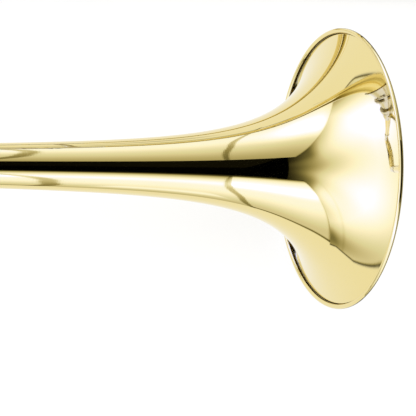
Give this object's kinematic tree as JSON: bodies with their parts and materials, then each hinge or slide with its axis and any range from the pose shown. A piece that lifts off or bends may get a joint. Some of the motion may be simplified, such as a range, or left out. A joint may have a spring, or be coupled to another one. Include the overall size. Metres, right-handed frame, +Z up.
{
  "type": "tenor trombone",
  "caption": "Straight tenor trombone: flared bell section, tuning slide, telescoping hand slide with water key and slide lock, and mouthpiece, lying on its side.",
  "frame": {"origin": "on the ground, under the middle of the instrument's box, with the instrument lying on its mouthpiece rim, slide end and bell rim", "axes": "+X along the instrument towards the bell mouth and the slide's end (the tubes dip 0.77 degrees towards +X), +Y from the bell towards the hand slide, +Z up"},
  "size_m": [1.1664, 0.262, 0.2043],
  "materials": {
    "lacquered_brass": "polished yellow brass under clear lacquer",
    "nickel_silver": "polished nickel silver",
    "hard_chrome": "hard chrome plate",
    "silver_plate": "bright silver plate",
    "spring_steel": "bright steel",
    "cork": "natural cork",
    "rubber": "matt black rubber"
  },
  "bodies": {
    "bell_section": {"bell_flare": "lacquered_brass", "bell_stem": "lacquered_brass", "rim_wire": "spring_steel", "bell_ferrule": "nickel_silver", "bell_tuning_sleeve": "nickel_silver", "gooseneck": "lacquered_brass", "neck_ferrule": "nickel_silver", "neck_tuning_sleeve": "nickel_silver", "slide_receiver": "nickel_silver", "front_brace_rod": "lacquered_brass", "front_brace_flange_bell": "lacquered_brass", "front_brace_flange_neck": "lacquered_brass", "rear_brace_rod": "lacquered_brass", "rear_brace_flange_bell": "lacquered_brass", "rear_brace_flange_neck": "lacquered_brass"},
    "tuning_slide": {"tuning_crook": "lacquered_brass", "tuning_leg_bell": "nickel_silver", "tuning_leg_neck": "nickel_silver", "tuning_ferrule_bell": "nickel_silver", "tuning_ferrule_neck": "nickel_silver", "tuning_brace_rod": "lacquered_brass", "tuning_brace_flange_bell": "lacquered_brass", "tuning_brace_flange_neck": "lacquered_brass"},
    "inner_slide": {"slide_tenon": "nickel_silver", "mouthpiece_receiver": "nickel_silver", "mouthpipe": "lacquered_brass", "upper_inner_tube": "hard_chrome", "lower_inner_tube": "hard_chrome", "upper_cork_barrel": "nickel_silver", "lower_cork_barrel": "nickel_silver", "upper_slide_cork": "cork", "lower_slide_cork": "cork", "inner_brace_rod": "nickel_silver", "inner_brace_flange_lower": "nickel_silver", "inner_brace_flange_upper": "nickel_silver"},
    "lock_nut": {"lock_nut": "nickel_silver"},
    "slide_lock": {"slide_lock_ring": "nickel_silver"},
    "mouthpiece": {"mouthpiece": "silver_plate"},
    "outer_slide": {"upper_outer_tube": "lacquered_brass", "lower_outer_tube": "lacquered_brass", "upper_grip_sleeve": "nickel_silver", "lower_grip_sleeve": "nickel_silver", "upper_crook_ferrule": "nickel_silver", "lower_crook_ferrule": "nickel_silver", "grip_brace_rod": "nickel_silver", "grip_brace_flange_lower": "nickel_silver", "grip_brace_flange_upper": "nickel_silver", "end_crook": "lacquered_brass", "bumper_socket": "nickel_silver", "rubber_bumper": "rubber", "lock_pin": "nickel_silver", "water_key_nipple": "nickel_silver", "water_key_saddle": "nickel_silver", "water_key_pin": "spring_steel", "water_key_spring": "spring_steel"},
    "water_key": {"water_key_lever": "nickel_silver", "water_key_cork": "cork"}
  },
  "joints": [
    {"name": "slide_swivel", "type": "hinge", "parent": "bell_section", "child": "inner_slide", "pos_m": [-0.16293, 0.11115, 0.10623], "axis": [0.9999, 0, -0.0135], "range_deg": [-30, 60]},
    {"name": "hand_slide", "type": "slide", "parent": "inner_slide", "child": "outer_slide", "axis": [0.9999, 0, -0.0135], "range_m": [0, 0.575]},
    {"name": "tuning_slide_pull", "type": "slide", "parent": "bell_section", "child": "tuning_slide", "axis": [-0.9999, 0, 0.0135], "range_m": [0, 0.05]},
    {"name": "mouthpiece_pull", "type": "slide", "parent": "inner_slide", "child": "mouthpiece", "axis": [-0.9999, 0, 0.0135], "range_m": [0, 0.027]},
    {"name": "lock_nut_turn", "type": "hinge", "parent": "inner_slide", "child": "lock_nut", "pos_m": [-0.16293, 0.11115, 0.10623], "axis": [0.9999, 0, -0.0135], "range_deg": [0, 540]},
    {"name": "slide_lock_turn", "type": "hinge", "parent": "inner_slide", "child": "slide_lock", "pos_m": [-0.10294, 0.11115, 0.10542], "axis": [0.9999, 0, -0.0135], "range_deg": [-35, 0]},
    {"name": "water_key_lift", "type": "hinge", "parent": "outer_slide", "child": "water_key", "pos_m": [0.49519, 0.11111, 0.11113], "axis": [0, -1, -0.0034], "range_deg": [0, 15], "stiffness_Nm_per_rad": 0.03, "springref_deg": -28.65, "deforming": ["water_key_spring"]}
  ]
}
